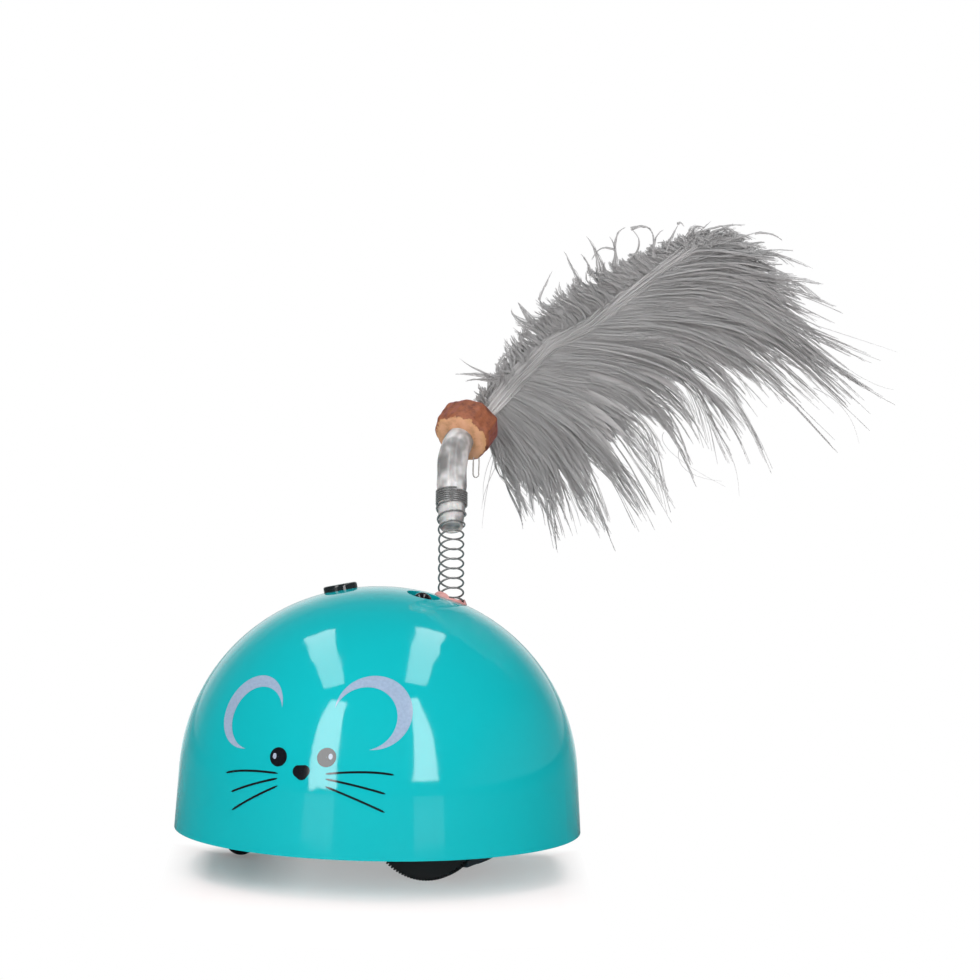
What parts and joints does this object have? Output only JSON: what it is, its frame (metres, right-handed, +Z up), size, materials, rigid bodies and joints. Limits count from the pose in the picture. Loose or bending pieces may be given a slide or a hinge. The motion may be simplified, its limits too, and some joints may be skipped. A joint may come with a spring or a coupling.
{
  "type": "motion-activated toy mouse",
  "caption": "Motion-activated cat toy: a glossy teal dome with a printed mouse face, hidden drive wheels and a feather tail on a spring and wooden bead.",
  "frame": {"origin": "centre of the dome's rim plane, on the underside of the base plate, midway between the battery door and the gearbox", "axes": "+Z up, the printed face looks along -Y, the toy drives along X with the button at -X and the sensor at +X"},
  "size_m": [0.1524, 0.1361, 0.1583],
  "materials": {
    "shell": "glossy moulded teal plastic with a printed face",
    "base": "satin moulded teal plastic",
    "screws": "zinc-plated steel",
    "button": "gloss black plastic",
    "switch": "black moulded plastic",
    "plunger": "brown moulded plastic",
    "lens": "smoked black epoxy, polished",
    "spacer": "white moulded plastic",
    "board": "green solder mask",
    "chip": "black epoxy",
    "capacitor": "sleeved can",
    "tilt_tube": "plated tube",
    "sockets": "ivory nylon",
    "cells": "plain printed sleeve and bright ends",
    "contacts": "nickel-plated spring steel",
    "gearbox": "satin dark grey plastic",
    "can": "drawn steel can",
    "rotor": "laminations and enamelled wire",
    "gears": "white acetal",
    "brass": "turned brass",
    "steel": "ground steel",
    "hub": "satin dark plastic",
    "tyre": "knurled dark rubber",
    "caster": "polished dark plastic",
    "plug": "matt beige rubber",
    "spring": "bare drawn wire",
    "sleeve": "milky translucent soft tube",
    "bead": "reddish bark sides, pale cut faces",
    "quill": "pale grey keratin",
    "plume": "soft grey down barbs",
    "thread": "twisted cotton thread",
    "red_wire": "red insulation",
    "black_wire": "black insulation"
  },
  "bodies": {
    "case": {"base_plate": "base", "battery_cells": "cells", "battery_contacts": "contacts", "black_wires": "black_wire", "board_sockets": "sockets", "capacitor": "capacitor", "case_screws": "screws", "caster_housing": "gearbox", "controller_chip": "chip", "dome_shell": "shell", "front_axle_bush": "brass", "front_gear_pin": "steel", "front_motor_can": "can", "gearbox_centre_plate": "gearbox", "gearbox_front": "gearbox", "gearbox_rear": "gearbox", "gearbox_screws": "screws", "main_board": "board", "main_board_screws": "screws", "rear_axle_bush": "brass", "rear_gear_pin": "steel", "rear_motor_can": "can", "red_wires": "red_wire", "sensor_lens": "lens", "sensor_spacer": "spacer", "switch_body": "switch", "tail_plug": "plug", "top_board": "board", "top_board_screws": "screws", "vibration_switch": "tilt_tube"},
    "button": {"power_button": "button", "switch_plunger": "plunger"},
    "door": {"battery_door": "base", "battery_door_screw": "screws"},
    "caster": {"caster_ball": "caster"},
    "spring": {"tail_spring": "spring"},
    "feather": {"feather_sleeve": "sleeve", "wooden_bead": "bead", "feather_quill": "quill", "feather_plume": "plume", "thread_loop": "thread"},
    "front_wheel": {"front_axle": "steel", "front_output_gear": "gears", "front_wheel_hub": "hub", "front_tyre": "tyre"},
    "front_reduction": {"front_compound_gear": "gears"},
    "front_rotor": {"front_motor_rotor": "rotor", "front_motor_pinion": "brass"},
    "rear_wheel": {"rear_axle": "steel", "rear_output_gear": "gears", "rear_wheel_hub": "hub", "rear_tyre": "tyre"},
    "rear_reduction": {"rear_compound_gear": "gears"},
    "rear_rotor": {"rear_motor_rotor": "rotor", "rear_motor_pinion": "brass"}
  },
  "joints": [
    {"name": "button_press", "type": "slide", "parent": "case", "child": "button", "axis": [0.2101, 0, -0.9777], "range_m": [0, 0.0005], "stiffness_N_per_m": 400},
    {"name": "battery_door_hinge", "type": "hinge", "parent": "case", "child": "door", "pos_m": [0, 0.02255, 0.0015], "axis": [1, 0, 0], "range_deg": [0, 75]},
    {"name": "front_wheel_spin", "type": "hinge", "parent": "case", "child": "front_wheel", "pos_m": [0.0176, 0, 0.0048], "axis": [0, 1, 0], "continuous": true},
    {"name": "rear_wheel_spin", "type": "hinge", "parent": "case", "child": "rear_wheel", "pos_m": [0.0176, 0, 0.0048], "axis": [0, 1, 0], "continuous": true},
    {"name": "front_gear_spin", "type": "hinge", "parent": "case", "child": "front_reduction", "pos_m": [0.01244, 0, 0.01451], "axis": [0, 1, 0], "continuous": true},
    {"name": "front_rotor_spin", "type": "hinge", "parent": "case", "child": "front_rotor", "pos_m": [0.0081, 0, 0.0238], "axis": [0, 1, 0], "continuous": true},
    {"name": "rear_gear_spin", "type": "hinge", "parent": "case", "child": "rear_reduction", "pos_m": [0.02276, 0, 0.01451], "axis": [0, 1, 0], "continuous": true},
    {"name": "rear_rotor_spin", "type": "hinge", "parent": "case", "child": "rear_rotor", "pos_m": [0.0271, 0, 0.0238], "axis": [0, 1, 0], "continuous": true},
    {"name": "caster_roll", "type": "hinge", "parent": "case", "child": "caster", "pos_m": [-0.037, 0, -0.0057], "axis": [0, 1, 0], "continuous": true},
    {"name": "tail_nod", "type": "hinge", "parent": "case", "child": "spring", "pos_m": [0.01239, 0.01433, 0.06256], "axis": [0.9205, 0.3907, 0], "range_deg": [-25, 25], "stiffness_Nm_per_rad": 0.25, "deforming": ["tail_spring"]},
    {"name": "tail_sway", "type": "hinge", "parent": "spring", "child": "feather", "pos_m": [0.01056, 0.01864, 0.06777], "axis": [0.2904, -0.6841, 0.6691], "range_deg": [-25, 25], "stiffness_Nm_per_rad": 0.25, "deforming": ["tail_spring"]}
  ],
  "couplings": [
    {"joint": "front_gear_spin", "follows": "front_wheel_spin", "ratio": -3.4},
    {"joint": "front_rotor_spin", "follows": "front_wheel_spin", "ratio": 12.089},
    {"joint": "rear_gear_spin", "follows": "rear_wheel_spin", "ratio": -3.4},
    {"joint": "rear_rotor_spin", "follows": "rear_wheel_spin", "ratio": 12.089}
  ]
}
